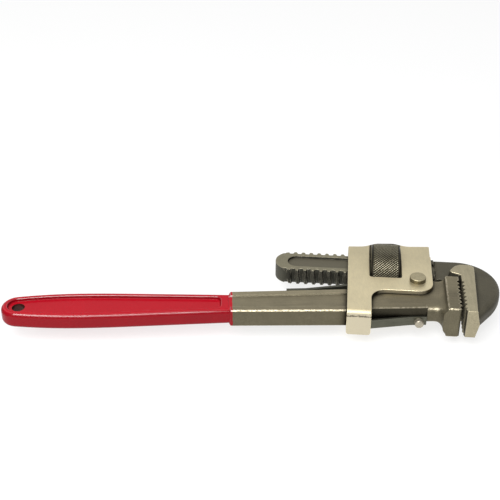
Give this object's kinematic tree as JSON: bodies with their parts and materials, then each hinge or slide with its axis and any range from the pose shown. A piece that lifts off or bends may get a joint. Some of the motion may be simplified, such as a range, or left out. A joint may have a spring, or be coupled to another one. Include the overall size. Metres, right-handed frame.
{
  "type": "pipe wrench",
  "caption": "Adjustable pipe wrench with a red I-section grip, fixed toothed heel jaw, sliding hook jaw on a threaded shank, knurled nut and sprung rocking frame.",
  "frame": {"origin": "centre of the hang hole at the end of the grip, on the wrench's mid-plane", "axes": "+X along the handle towards the jaws, +Y across the handle towards the frame's back wall, +Z square to the flat of the wrench, along the hang hole"},
  "size_m": [0.3016, 0.0813, 0.035],
  "materials": {
    "handle": "glossy red paint on the grip, bare forged steel from the step to the heel jaw",
    "hook_jaw": "dark forged steel with ground jaw faces",
    "frame": "satin plated sheet steel",
    "adjusting_nut": "dark knurled steel",
    "pivot_rivet": "satin plated steel",
    "front_spring": "blackened spring steel",
    "front_spring_rivet": "bright steel",
    "rear_spring": "blackened spring steel",
    "rear_spring_rivet": "bright steel"
  },
  "bodies": {
    "handle": {"handle": "handle", "front_spring": "front_spring", "front_spring_rivet": "front_spring_rivet", "rear_spring": "rear_spring", "rear_spring_rivet": "rear_spring_rivet"},
    "frame": {"frame": "frame", "pivot_rivet": "pivot_rivet"},
    "hook_jaw": {"hook_jaw": "hook_jaw"},
    "adjusting_nut": {"adjusting_nut": "adjusting_nut"}
  },
  "joints": [
    {"name": "frame_rock", "type": "hinge", "parent": "handle", "child": "frame", "pos_m": [0.2408, 0.0152, 0], "axis": [0, 0, 1], "range_deg": [-2.2, 4], "stiffness_Nm_per_rad": 30, "deforming": ["front_spring", "rear_spring"]},
    {"name": "jaw_slide", "type": "slide", "parent": "frame", "child": "hook_jaw", "axis": [0.9936, -0.1132, 0], "range_m": [0, 0.0482]},
    {"name": "nut_spin", "type": "hinge", "parent": "frame", "child": "adjusting_nut", "pos_m": [0.22395, 0.03775, 0], "axis": [0.9936, -0.1132, 0], "range_deg": [-3480, 0]}
  ],
  "couplings": [
    {"joint": "nut_spin", "follows": "jaw_slide", "rad_per_m": -1256.6}
  ]
}
